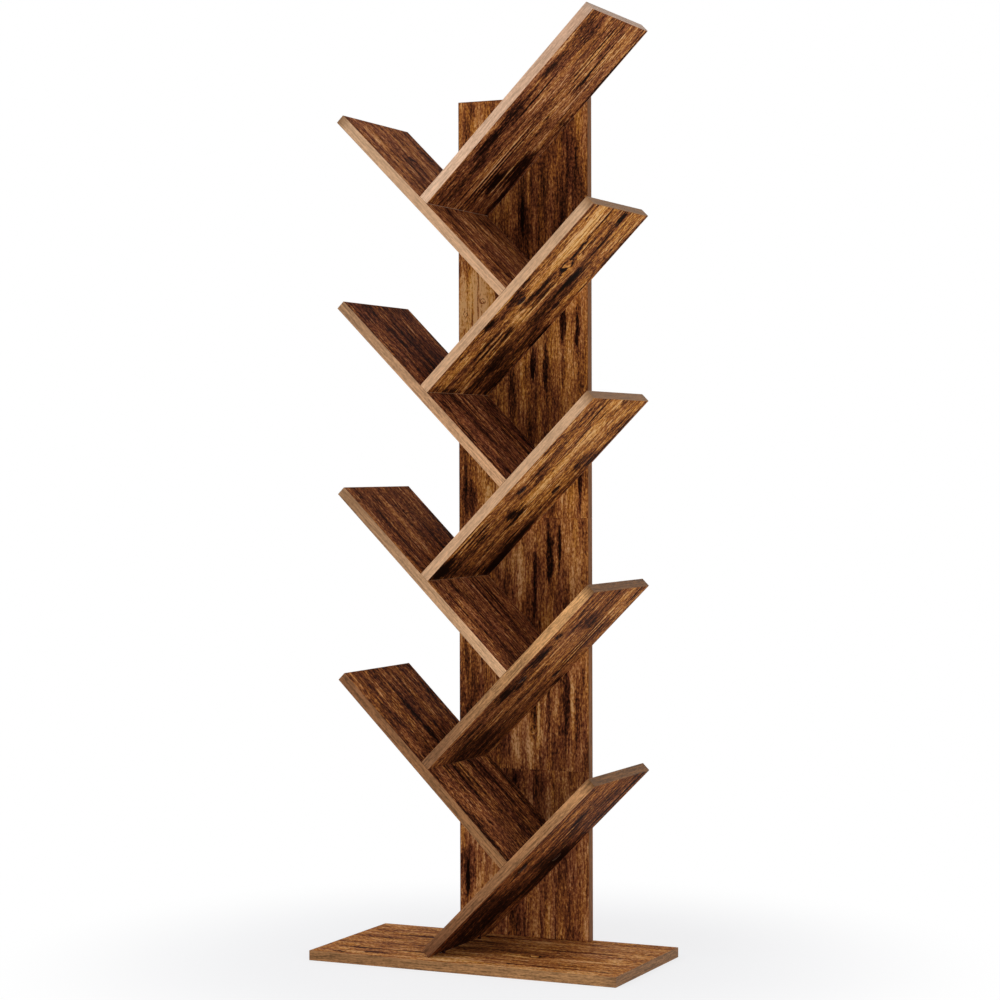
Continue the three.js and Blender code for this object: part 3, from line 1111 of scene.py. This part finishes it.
@dataclass
class ScrewStock:
    """Flat countersunk screws with a hexagon socket, and the holes that they go in."""

    length: float
    head_radius: float = 0.006
    rim: float = 0.001
    cone: float = 0.0025
    shank_radius: float = 0.0025
    shank_end: float = 0.017
    core_radius: float = 0.0021
    crest_radius: float = 0.00275
    tip: float = 0.005
    tip_radius: float = 0.000252
    recess: float = 0.0005
    socket_sides: int = 6
    socket_flats: float = 0.004
    socket_depth: float = 0.0025
    fit_gap: float = 0.0003
    thread_pitch: float = 0.0028
    thread_start: float = 0.018
    thread_half: float = 0.00084
    thread_root: float = 0.00189
    thread_steps: int = 18
    round_sides: int = 48
    edge_round: float = 0.00025
    edge_steps: int = 2
    edge_angle: float = math.radians(50)
    smooth_angle: float = math.radians(40)
    overrun: float = 0.002

    def _turned(self, rings: list[Pair]) -> Piece:
        """Turns a solid on the lathe: one cylinder, extruded and resized ring by ring.

        Args:
            rings: radius and depth of each ring from the head down. The first two are equally wide.

        Returns:
            The closed solid, driven along +Z.
        """
        (last_radius, top), (_, last_depth) = rings[:2]
        piece = add_cylinder(self.round_sides, last_radius, top, last_depth)
        bpy.ops.object.mode_set(mode="EDIT")
        pick_faces(piece, lambda face: face.normal.z > FACING)
        for radius, depth in rings[2:]:
            bpy.ops.mesh.extrude_region_move(TRANSFORM_OT_translate={"value": (0, 0, depth - last_depth)})
            share = radius / last_radius
            bpy.ops.transform.resize(value=(share, share, 1), center_override=(0, 0, depth))
            last_radius, last_depth = radius, depth
        bpy.ops.object.mode_set(mode="OBJECT")
        return piece

    def _thread(self) -> Piece:
        """Winds the thread: a small triangle swept down the shank and closed at both ends.

        Returns:
            The closed solid.
        """
        turns = int((self.length - self.tip - self.thread_start) / self.thread_pitch)
        foot, half = self.thread_root, self.thread_half
        corners = ((foot, 0, -half), (self.crest_radius, 0, 0), (foot, 0, half))
        mesh = bpy.data.meshes.new("thread")
        mesh.from_pydata(corners, [(0, 1), (1, 2), (2, 0)], [])
        thread = link_new("thread", mesh)
        apply_modifier(
            thread,
            "SCREW",
            angle=math.tau * turns,
            screw_offset=self.thread_pitch * turns,
            steps=self.thread_steps * turns,
            render_steps=self.thread_steps * turns,
            use_normal_calculate=True,
        )
        make_active(thread)
        bpy.ops.object.mode_set(mode="EDIT")
        bpy.ops.mesh.select_mode(type="EDGE")
        bpy.ops.mesh.select_all(action="DESELECT")
        bpy.ops.mesh.select_non_manifold()
        bpy.ops.mesh.fill()
        bpy.ops.mesh.select_all(action="SELECT")
        bpy.ops.mesh.normals_make_consistent(inside=False)
        bpy.ops.object.mode_set(mode="OBJECT")
        place_mesh(thread, Matrix.Translation((0, 0, self.thread_start)))
        return thread

    def model(self) -> Piece:
        """Models one screw with its socket and its thread, the face of its board at depth 0.

        Returns:
            The screw, driven along +Z.
        """
        piece = self._turned(
            [
                (self.head_radius, self.recess),
                (self.head_radius, self.recess + self.rim),
                (self.shank_radius, self.recess + self.rim + self.cone),
                (self.shank_radius, self.shank_end),
                (self.core_radius, self.thread_start),
                (self.core_radius, self.length - self.tip),
                (self.tip_radius, self.length),
            ]
        )
        corner = self.socket_flats / 2 / math.cos(math.pi / self.socket_sides)
        top = self.recess - self.overrun
        cut_away(piece, add_cylinder(self.socket_sides, corner, top, self.recess + self.socket_depth))
        apply_modifier(
            piece,
            "BEVEL",
            width=self.edge_round,
            segments=self.edge_steps,
            limit_method="ANGLE",
            angle_limit=self.edge_angle,
        )
        make_active(piece, self._thread())
        bpy.ops.object.join()
        bpy.ops.object.shade_smooth_by_angle(angle=self.smooth_angle)
        return piece

    def drill(self) -> Piece:
        """Models the drill that cuts a screw's hole: countersink, shank and room beyond the tip.

        Returns:
            The drill, driven along +Z.
        """
        wide = self.head_radius + self.fit_gap
        narrow = self.shank_radius + self.fit_gap
        shoulder = self.recess + self.rim + self.fit_gap
        return self._turned(
            [
                (wide, -self.overrun),
                (wide, shoulder),
                (narrow, shoulder + self.cone),
                (narrow, self.length + self.fit_gap),
            ]
        )


@dataclass
class Fitting:
    """One screw: its CAD node, where it meets the face of its board and the way it is driven."""

    node: str
    point: Vector
    direction: Vector
    kind: Screw = Screw.USUAL

    def seen_from(self, place: Matrix) -> "Fitting":
        """Gives the same screw in the frame of what stands at this place."""
        inward = place.inverted()
        return Fitting(self.node, inward @ self.point, inward.to_3x3() @ self.direction, self.kind)


@dataclass
class Board:
    """One board: a core faced with the print on both sides, and banded on the edges that show.

    Its own frame has its length along X, its width along Y and its thickness along Z, from 0.
    """

    name: str
    length: float
    width: float
    place: Matrix
    dressed: Side
    banded: tuple[Edge, ...] = tuple(Edge)
    far_end_first: bool = False
    holes: tuple[Fitting, ...] = ()
    thickness: float = 0.015
    arris: float = 0.0006
    arris_steps: int = 3
    arris_profile: float = 0.5
    lip: float = 0.0003
    glue_step: float = 0.00004
    normal_weight: int = 80
    seed: float = 0.0

    def build(self, finishes: dict[Finish, Material], drills: dict[Screw, Piece]) -> Piece:
        """Models the board, drills it, dresses it and brings it to its place.

        Args:
            finishes: the material of each finish, in the order of the slots.
            drills: the shape that each kind of screw needs cut.

        Returns:
            The finished piece, riding on the shelf in place of its CAD node.
        """
        piece = self._blank()
        for finish in finishes.values():
            piece.data.materials.append(finish)
        self._sort_faces(piece.data)
        if self.holes:
            self._drill(piece, drills)
        apply_modifier(piece, "WEIGHTED_NORMAL", keep_sharp=True, weight=self.normal_weight)
        self._write_places(piece.data)
        place_mesh(piece, self.place)
        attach(piece, BODY)
        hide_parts(self.name)
        LOG.info("board %s: %d faces", piece.name, len(piece.data.polygons))
        return piece

    def _blank(self) -> Piece:
        """Cuts the blank: a block with eased arrises, and the print's edge a hair below the banding.

        Returns:
            The blank, in the board's own frame.
        """
        size = (self.length, self.width, self.thickness)
        deselect_all()
        bpy.ops.mesh.primitive_cube_add(size=1, location=[extent / 2 for extent in size], scale=size)
        piece = bpy.context.object
        piece.name = f"{self.name}_board"
        piece.data.name = piece.name
        settle()
        bpy.ops.object.mode_set(mode="EDIT")
        bpy.ops.mesh.select_all(action="SELECT")
        bpy.ops.mesh.bevel(
            offset=self.arris,
            offset_type="OFFSET",
            segments=self.arris_steps,
            profile=self.arris_profile,
            affect="EDGES",
        )
        pick_faces(piece, lambda face: abs(face.normal.z) > FLAT and face.calc_area() > self.arris)
        bpy.ops.mesh.inset(thickness=self.lip, depth=0)
        bpy.ops.mesh.inset(thickness=self.glue_step, depth=-self.glue_step)
        bpy.ops.object.mode_set(mode="OBJECT")
        make_active(piece)
        bpy.ops.object.shade_smooth()
        return piece

    def _sort_faces(self, mesh: bpy.types.Mesh) -> None:
        """Gives banding to the edges that have it, and the print to all the rest.

        Args:
            mesh: the board's mesh.
        """
        reach = self.arris + self.lip
        for face in mesh.polygons:
            x, y, _ = face.center
            gaps = {Edge.NEAR: x, Edge.FAR: self.length - x, Edge.FRONT: y, Edge.BACK: self.width - y}
            nearest = min(gaps, key=gaps.get)
            edging = nearest in self.banded and gaps[nearest] < reach
            face.material_index = Finish.BANDING if edging else Finish.PRINT

    def _drill(self, piece: Piece, drills: dict[Screw, Piece]) -> None:
        """Cuts every hole with a copy of the drill, whose walls show the core.

        Args:
            piece: the board.
            drills: the shape that each kind of screw needs cut.
        """
        cutters = []
        for hole in self.holes:
            cutter = copy_piece(drills[hole.kind])
            cutter.matrix_world = driven(hole.point, hole.direction)
            cutters.append(cutter)
        make_active(*cutters)
        settle()
        if len(cutters) > 1:
            bpy.ops.object.join()
        mesh = cutters[0].data
        mesh.materials.clear()
        for finish in piece.data.materials:
            mesh.materials.append(finish)
        for face in mesh.polygons:
            face.material_index = Finish.CORE
        cut_away(piece, cutters[0])

    def _write_places(self, mesh: bpy.types.Mesh) -> None:
        """Writes, for every corner of every face, how far along and across its strip of paper it is.

        Args:
            mesh: the board's mesh.
        """
        places = mesh.attributes.new(PLACE, "FLOAT_VECTOR", "CORNER")
        values = np.zeros((len(mesh.loops), 3), np.float32)
        for face in mesh.polygons:
            turned_over = face.normal.z * self.dressed.value < 0
            for corner in face.loop_indices:
                x, y, z = mesh.vertices[mesh.loops[corner].vertex_index].co
                if self.far_end_first:
                    x = self.length - x
                if face.material_index != Finish.BANDING:
                    values[corner] = (self.length - x if turned_over else x, y, self.seed)
                elif abs(face.normal.x) > abs(face.normal.y):
                    values[corner] = (self.length + y, z, self.seed)
                else:
                    values[corner] = (x, z, self.seed)
        places.data.foreach_set("vector", values.ravel())


@dataclass
class Shelf:
    """The sizes and places that all the boards share."""

    thickness: float = 0.015
    arris: float = 0.0006
    base_width: float = 0.5
    base_depth: float = 0.25
    branch_length: float = 0.38
    branch_setback: float = 0.02
    tier_pitch: float = 0.28
    left_branches: int = 4
    trunk_width: float = 0.22
    trunk_lengths: Triple = (0.26, 0.39, 0.65)
    seat_gap: float = 0.0003
    joint_screw_inset: float = 0.045
    trunk_screw_inset: float = 0.026
    trunk_screw_along: float = 0.06
    foot_screw_inset: float = 0.04
    corner_screw_shift: float = 0.004
    rise: float = math.sqrt(0.5)

    @property
    def branch_depth(self) -> float:
        """The branches' depth, from their front edge to the trunk."""
        return self.base_depth - self.branch_setback - self.thickness

    @property
    def start_offset(self) -> float:
        """How far past the middle a branch starts."""
        return self.tier_pitch / 4 - (self.thickness + self.seat_gap) * self.rise

    @property
    def lowest_start(self) -> float:
        """The height at which the lowest branch starts."""
        return self.thickness + self.seat_gap - self.arris * self.rise

    @property
    def front(self) -> float:
        """Where the front edges of the branches lie."""
        return self.branch_setback - self.base_depth / 2

    @property
    def branches(self) -> list[tuple[Hand, int]]:
        """The side that each branch rises to, and its number on that side, counted from the top."""
        return [
            (hand, number)
            for number in range(1, self.left_branches + 2)
            for hand in Hand
            if hand is Hand.RIGHT or number <= self.left_branches
        ]

    def branch_frame(self, hand: Hand, number: int) -> Matrix:
        """Gives a branch's own frame, its length along X from its lower end, or for a left one its tip.

        Args:
            hand: the side that the branch rises to.
            number: counted from the top.

        Returns:
            The matrix from the branch's frame to the shelf's.
        """
        height = self.lowest_start + (self.left_branches + 1 - number) * self.tier_pitch
        if hand is Hand.RIGHT:
            start = Vector((-self.start_offset, self.front, height))
            return Matrix.Translation(start) @ Matrix.Rotation(-math.pi / 4, 4, "Y")
        drop = self.branch_length * self.rise
        tip = Vector((self.start_offset - drop, self.front, height - self.tier_pitch / 2 + drop))
        return Matrix.Translation(tip) @ Matrix.Rotation(math.pi / 4, 4, "Y")

    def along(self, hand: Hand, distance: float) -> float:
        """Turns a distance from a branch's lower end into its own X."""
        return distance if hand is Hand.RIGHT else self.branch_length - distance


@dataclass
class Fasteners:
    """All the screws and dowels of the shelf."""

    shelf: Shelf
    length: float = 0.05
    short_length: float = 0.03
    joint_head_radius: float = 0.0085

    @property
    def stocks(self) -> dict[Screw, ScrewStock]:
        """The sizes of each kind of screw."""
        return {
            Screw.USUAL: ScrewStock(self.length),
            Screw.SHORT: ScrewStock(self.short_length),
            Screw.JOINT: ScrewStock(self.length, head_radius=self.joint_head_radius),
        }

    def list_all(self) -> list[Fitting]:
        """Lists every screw where the CAD part has it.

        Returns:
            The screws.
        """
        shelf = self.shelf
        fittings = []
        up = Vector((0, 0, 1))
        forward = Vector((0, -1, 0))
        middle_y = (shelf.base_depth - shelf.thickness) / 2
        half = shelf.trunk_width / 2 - shelf.foot_screw_inset
        for name, side in (("left", -1), ("right", 1)):
            fittings.append(Fitting(f"trunk_foot_screw_{name}", Vector((side * half, middle_y, 0)), up))
        depths = {
            "front": shelf.front + shelf.joint_screw_inset,
            "rear": shelf.front + shelf.branch_depth - shelf.joint_screw_inset,
        }
        corner_x = shelf.corner_screw_shift - shelf.start_offset
        for name, y in depths.items():
            fittings.append(Fitting(f"corner_screw_{name}", Vector((corner_x, y, 0)), up, Screw.SHORT))
        outer = shelf.trunk_width / 2 - shelf.trunk_screw_inset + shelf.start_offset
        spots = {"lower": shelf.trunk_screw_along, "upper": outer / shelf.rise + shelf.thickness / 2}
        back = shelf.branch_depth + shelf.thickness
        below = -shelf.seat_gap - shelf.thickness
        for hand, number in shelf.branches:
            name = f"{hand.value}_branch_{number}"
            own = shelf.branch_frame(hand, number)
            for place, distance in spots.items():
                point = own @ Vector((shelf.along(hand, distance), back, shelf.thickness / 2))
                fittings.append(Fitting(f"{name}_trunk_screw_{place}", point, forward))
            if number > shelf.left_branches:
                continue
            inward = Vector((1 if hand is Hand.RIGHT else -1, 0, 0))
            for place, y in depths.items():
                point = own @ Vector((shelf.along(hand, below), y - shelf.front, shelf.thickness / 2))
                node = f"{name}_joint_screw_{place}"
                fittings.append(Fitting(node, point, own.to_3x3() @ inward, Screw.JOINT))
        return fittings

    def build(self, steel: Material, beech: Material) -> None:
        """Models each kind of screw once, sets a copy in every place, and dresses the dowels.

        Args:
            steel: the finish of the screws.
            beech: the finish of the dowels.
        """
        masters = {kind: stock.model() for kind, stock in self.stocks.items()}
        for master in masters.values():
            master.data.materials.append(steel)
        for fitting in self.list_all():
            screw = copy_piece(masters[fitting.kind])
            screw.name = f"{fitting.node}_steel"
            screw.data.name = screw.name
            place_mesh(screw, driven(fitting.point, fitting.direction))
            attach(screw, BODY)
            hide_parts(fitting.node)
        remove_pieces(*masters.values())
        for name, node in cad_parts.items():
            if name.startswith("dowel"):
                node.data.materials.clear()
                node.data.materials.append(beech)
        LOG.info("fasteners: %d screws", len(self.list_all()))


@dataclass
class Boards:
    """The base plate, the trunk and the nine branches."""

    shelf: Shelf
    fasteners: Fasteners
    seed_step: float = 1.37
    probe_shares: tuple[float, ...] = (0.0, 0.2, 0.5, 0.8, 1.0)
    probe_slack: float = 0.0001

    def list_all(self) -> list[Board]:
        """Lists every board with its place, without its holes.

        Returns:
            The boards, from the base up.
        """
        shelf = self.shelf
        corner = Matrix.Translation((-shelf.base_width / 2, -shelf.base_depth / 2, 0))
        boards = [Board("base_plate", shelf.base_width, shelf.base_depth, corner, Side.UPPER)]
        stood = Matrix(((0, 1, 0, 0), (0, 0, 1, 0), (1, 0, 0, 0), (0, 0, 0, 1)))
        height = shelf.thickness
        for part, length in zip(("lower", "middle", "upper"), shelf.trunk_lengths):
            foot = (-shelf.trunk_width / 2, shelf.base_depth / 2 - shelf.thickness, height)
            place = Matrix.Translation(foot) @ stood
            banded = (Edge.FRONT, Edge.BACK, Edge.FAR) if part == "upper" else (Edge.FRONT, Edge.BACK)
            boards.append(Board(f"trunk_{part}", length, shelf.trunk_width, place, Side.UNDER, banded))
            height += length
        for hand, number in shelf.branches:
            board = Board(
                f"{hand.value}_branch_{number}",
                shelf.branch_length,
                shelf.branch_depth,
                shelf.branch_frame(hand, number),
                Side.UNDER if hand is Hand.RIGHT else Side.UPPER,
                far_end_first=hand is Hand.LEFT,
            )
            boards.append(board)
        return boards

    def build(self, core: Material) -> None:
        """Builds every board, drilled for all the screws that touch it.

        Args:
            core: the finish of the walls of the holes.
        """
        drills = {kind: stock.drill() for kind, stock in self.fasteners.stocks.items()}
        edgings = {banding: banding.material() for banding in dict.fromkeys(BANDINGS.values())}
        for number, board in enumerate(self.list_all()):
            board.seed = number * self.seed_step
            board.holes = self._holes_of(board)
            finishes = {
                Finish.PRINT: PRINTS[board.name].material(board.name),
                Finish.BANDING: edgings[BANDINGS[board.name]],
                Finish.CORE: core,
            }
            board.build(finishes, drills)
        remove_pieces(*drills.values())

    def _holes_of(self, board: Board) -> tuple[Fitting, ...]:
        """Finds the screws whose axes pass through a board, in the board's own frame.

        Args:
            board: the board to drill.

        Returns:
            Its screws, each of which needs a hole.
        """
        slack = self.probe_slack
        stocks = self.fasteners.stocks
        holes = []
        for fitting in self.fasteners.list_all():
            hole = fitting.seen_from(board.place)
            run = hole.direction * stocks[hole.kind].length
            path = [hole.point + run * share for share in self.probe_shares]
            inside = [
                0 < spot.x < board.length
                and 0 < spot.y < board.width
                and -slack < spot.z < board.thickness + slack
                for spot in path
            ]
            if any(inside):
                holes.append(hole)
        return tuple(holes)


@dataclass(frozen=True)
class Lamp:
    """One soft square light: where it stands, where it points, and its width and power."""

    name: str
    place: Triple
    target: Triple
    size: float
    watts: float

    def build(self) -> None:
        """Adds the light."""
        data = bpy.data.lights.new(self.name, "AREA")
        data.size = self.size
        data.energy = self.watts
        light = link_new(self.name, data)
        light.location = self.place
        aim = Vector(self.target) - Vector(self.place)
        light.rotation_euler = aim.to_track_quat("-Z", "Y").to_euler()


@dataclass
class Studio:
    """The pale floor, the soft lights and the camera."""

    floor_size: float = 14.0
    floor_sides: int = 64
    floor_drop: float = 0.0002
    floor_colour: str = "#f2f2f2"
    fade_reach: Pair = (0.3, 0.8)
    fade_share: Pair = (0.72, 1.0)
    sky: float = 0.66
    sky_colour: str = "#f4f6ff"
    lamps: tuple[Lamp, ...] = (
        Lamp("key_light", (-1.1, -2.9, 2.5), (0, 0, 0.9), 1.8, 26.0),
        Lamp("fill_light", (2.6, -2.2, 0.5), (0, 0, 0.8), 2.2, 42.0),
    )
    lens_pixels: float = 2552.0
    picture_pixels: float = 1000.0
    sensor: float = 36.0
    shift_up: float = -0.02
    camera_place: Triple = (1.6305, -3.4956, 0.7482)
    camera_yaw: float = math.radians(24.849)
    camera_pitch: float = math.radians(-0.355)
    camera_roll: float = math.radians(-0.14)
    clip_end: float = 100.0

    def build(self) -> None:
        """Sets up floor, sky, lights and camera."""
        self._floor()
        self._sky()
        for lamp in self.lamps:
            lamp.build()
        self._camera()
        bpy.context.scene.view_settings.view_transform = "Standard"
        LOG.info("studio: floor, two lights and camera")

    def _background_rays(self, tree: Tree) -> Socket:
        """Gives one for the rays that meet a white background: direct, mirrored or through glass.

        Args:
            tree: the nodes to add to.

        Returns:
            One for these rays, and zero for all the others.
        """
        rays = add_node(tree, "ShaderNodeLightPath").outputs
        seen = compute(tree, "MAXIMUM", rays["Is Camera Ray"], rays["Is Glossy Ray"])
        return compute(tree, "MAXIMUM", seen, rays["Is Transmission Ray"])

    def _floor(self) -> None:
        """Lays a round floor, pure white to the camera away from the shelf, which keeps its shadow."""
        deselect_all()
        bpy.ops.mesh.primitive_circle_add(
            vertices=self.floor_sides,
            radius=self.floor_size / 2,
            fill_type="NGON",
            location=(0, 0, -self.floor_drop),
        )
        floor = bpy.context.object
        floor.name = "studio_floor"
        settle()
        material, tree = empty_material("white_studio_floor")
        away = combine(tree, "LENGTH", object_places(tree))
        fade = remap(tree, away, self.fade_reach, self.fade_share, "SMOOTHSTEP")
        share = compute(tree, "MULTIPLY", fade, self._background_rays(tree))
        paint = add_node(tree, "ShaderNodeBsdfDiffuse", {"Color": linear(self.floor_colour)})
        glow = add_node(tree, "ShaderNodeEmission", {"Color": linear(WHITE), "Strength": 1.0})
        mixed = mix_shaders(tree, share, paint.outputs["BSDF"], glow.outputs["Emission"])
        add_node(tree, "ShaderNodeOutputMaterial", {"Surface": mixed})
        floor.data.materials.append(material)

    def _sky(self) -> None:
        """Makes the world white to the camera, mirrors and glass, and a soft grey light to the rest."""
        world = bpy.data.worlds.new("studio_sky")
        bpy.context.scene.world = world
        world.use_nodes = True
        tree = world.node_tree
        tree.nodes.clear()
        inputs = {"Color": linear(self.sky_colour), "Strength": self.sky}
        soft = add_node(tree, "ShaderNodeBackground", inputs)
        white = add_node(tree, "ShaderNodeBackground", {"Color": linear(WHITE), "Strength": 1.0})
        seen = self._background_rays(tree)
        mixed = mix_shaders(tree, seen, soft.outputs["Background"], white.outputs["Background"])
        add_node(tree, "ShaderNodeOutputWorld", {"Surface": mixed})

    def _camera(self) -> None:
        """Sets the camera where the photograph was taken from."""
        data = bpy.data.cameras.new("photo_camera")
        data.sensor_width = self.sensor
        data.lens = self.lens_pixels / self.picture_pixels * self.sensor
        data.shift_y = self.shift_up
        data.clip_end = self.clip_end
        camera = link_new("photo_camera", data)
        camera.location = self.camera_place
        yaw = Matrix.Rotation(self.camera_yaw, 3, "Z")
        level = yaw @ Matrix.Rotation(math.pi / 2 + self.camera_pitch, 3, "X")
        camera.rotation_euler = (level @ Matrix.Rotation(self.camera_roll, 3, "Z")).to_euler()
        bpy.context.scene.camera = camera


def main() -> None:
    """Builds the boards, the fasteners and the studio in order."""
    logging.basicConfig(level=logging.INFO)
    shelf = Shelf()
    fasteners = Fasteners(shelf)
    Boards(shelf, fasteners).build(ParticleBoard().material())
    fasteners.build(BronzedSteel().material(), Beech().material())
    Studio().build()


if __name__ == "__main__":
    main()
